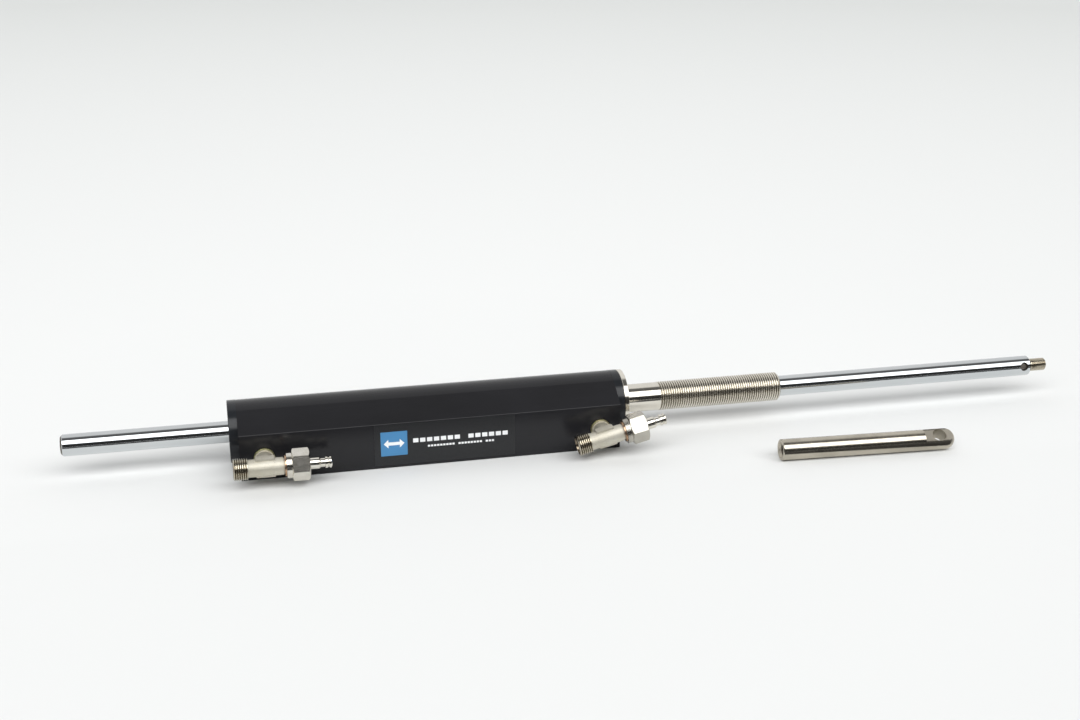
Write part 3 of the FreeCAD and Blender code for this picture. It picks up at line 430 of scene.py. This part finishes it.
def double_arrow(x0, x1, z0, z1):
    """The outline of an arrow with a head at each end."""
    middle = (z0 + z1) / 2
    head = (z1 - z0) / 2
    shaft = head * SHAFT_SHARE
    lower = [(x0, middle), (x0 + head, z0), (x0 + head, middle - shaft),
             (x1 - head, middle - shaft), (x1 - head, z0), (x1, middle)]
    return lower + [(x, 2 * middle - z) for x, z in lower[-2:0:-1]]


def blocks(x0, x1, z0, z1, count, skipped):
    """A row of equal rounded blocks across the plate, with some left out as spaces."""
    pitch = (x1 - x0) / count
    starts = [x0 + k * pitch for k in range(count) if k not in skipped]
    return [rounded(*from_plate(x, x + pitch * BLOCK_SHARE, z0, z1), BLOCK_CORNER)
            for x in starts]


panel = rounded(*from_plate(4.6, 24.0, 7.4, 26.1), PANEL_CORNER)
arrow = double_arrow(*from_plate(6.8, 21.8, 13.4, 20.1))
printed("print_panel", [panel], BLUE_INK)
printed("print_arrow", [arrow], WHITE_INK, PRINT_THICKNESS)
printed("print_blocks", blocks(28.2, 99.5, 16.3, 19.5, 14, (7,)), WHITE_INK)
printed("print_small_blocks", blocks(38.9, 88.5, 12.0, 13.5, 22, (9, 18)), WHITE_INK)

# ---------------------------------------------------------------- floor, light and camera


def flat(name, x0, x1, y0, y1, z, material):
    """A flat rectangle of the stage, facing up."""
    mesh = bpy.data.meshes.new(name)
    mesh.from_pydata([(x0, y0, z), (x1, y0, z), (x1, y1, z), (x0, y1, z)], [], [(0, 1, 2, 3)])
    mesh.materials.append(material)
    obj = bpy.data.objects.new(name, mesh)
    scene.collection.objects.link(obj)
    return obj


FLOOR_HALF = 40.0
FLOOR_SHADE_SPAN = (0.4, 3.0)                 # from here to here from the part, painted shade darkens the paper
FLOOR_NEAR = rgb(0.80, 0.81, 0.805)
FLOOR_FAR_SHADE = rgb(0.615, 0.63, 0.62)

paper = Finish("floor_paper", Roughness=0.85)
fibre = paper.noise(220, (1, 1, 1), 3)
# Painted shade: the paper's colour darkens away from the part, standing in for the darker far
# floor.
away = paper.fit(paper.vector("LENGTH", paper.position).outputs["Value"], *FLOOR_SHADE_SPAN)
paper.finish(paper.blend(away, FLOOR_NEAR, FLOOR_FAR_SHADE), None, paper.bump(fibre, 0.00004, 0.3))
flat("floor", -FLOOR_HALF, FLOOR_HALF, -FLOOR_HALF, FLOOR_HALF, 0, paper.material)

# A dark card in front of the part paints a dark reflection into polished metal; it is seen only
# in reflections and gives no light or shadow.
CARD_X, CARD_NEAR, CARD_FAR, CARD_Z = 1.5, -0.098, -1.3, 0.001

reflection_card_finish = Finish("dark_reflection_card", Roughness=0.9)
reflection_card_finish.finish(rgb(0.02, 0.02, 0.021), None, reflection_card_finish.bump(reflection_card_finish.noise(900), 0.0002, 0.5))
card = flat("dark_card", -CARD_X, CARD_X, CARD_FAR, CARD_NEAR, CARD_Z, reflection_card_finish.material)
for kind in ("camera", "diffuse", "shadow", "transmission"):
    setattr(card, f"visible_{kind}", False)

# The room's light is set by the angle over the rod: 0 is level towards the camera, 90 straight
# up, 180 level behind the part. A softbox stands over the camera and a pale wall is behind.
ROOM = ((0, 0.03), (30, 0.04), (74, 0.10), (84, 0.13), (98, 0.16), (108, 0.86), (180, 0.86))
SOFTBOX = ((28, 0.0), (36, 1.0), (64, 1.0), (74, 0.0))
SOFTBOX_LEVEL = 3.7
SOFTBOX_REACH = (0.70, 0.85)            # how far along X, as a share, its light fades to none
BACKDROP = (0.86, 0.865, 0.86, 1)

world = bpy.data.worlds.new("studio")
scene.world = world
world.use_nodes = True
room = Graph(world.node_tree)
background = room.tree.nodes["Background"]
split = room.add("ShaderNodeSeparateXYZ")
room.link(room.add("ShaderNodeTexCoord").outputs["Generated"], split.inputs[0])
towards = room.math("MULTIPLY", split.outputs["Y"], -1.0)
turn = room.math("DIVIDE", room.math("ARCTAN2", split.outputs["Z"], towards), math.pi)


def by_angle(levels):
    """The light at the angle over the rod, from pairs of angle and level."""
    ramp = room.add("ShaderNodeValToRGB")
    room.link(turn, ramp.inputs[0])
    stops = ramp.color_ramp.elements
    while len(stops) < len(levels):
        stops.new(0.5)
    for stop, (angle, level) in zip(stops, levels):
        stop.position = angle / 180
        stop.color = (level, level, level, 1)
    return ramp.outputs["Color"]


sideways = room.fit(room.math("ABSOLUTE", split.outputs["X"]), *SOFTBOX_REACH, 1.0, 0.0)
glow = room.math("MULTIPLY", by_angle(SOFTBOX), sideways)
level = room.math("ADD", by_angle(ROOM), room.math("MULTIPLY", glow, SOFTBOX_LEVEL))
seen = room.add("ShaderNodeLightPath").outputs["Is Camera Ray"]
room.link(room.blend(seen, level, BACKDROP), background.inputs["Color"])

CAMERA_PLACE = (-0.1464, -1.0313, 0.4480)
CAMERA_TILT = math.radians(69.99)
CAMERA_TURN = math.radians(-12.68)

camera = bpy.data.cameras.new("camera")
camera.lens = 50.0
camera.sensor_width = 36.0
camera.clip_start = 0.05
camera.clip_end = 200.0
camera_obj = bpy.data.objects.new("camera", camera)
camera_obj.location = CAMERA_PLACE
camera_obj.rotation_euler = (CAMERA_TILT, 0, CAMERA_TURN)
scene.collection.objects.link(camera_obj)
scene.camera = camera_obj
scene.view_settings.view_transform = "Standard"
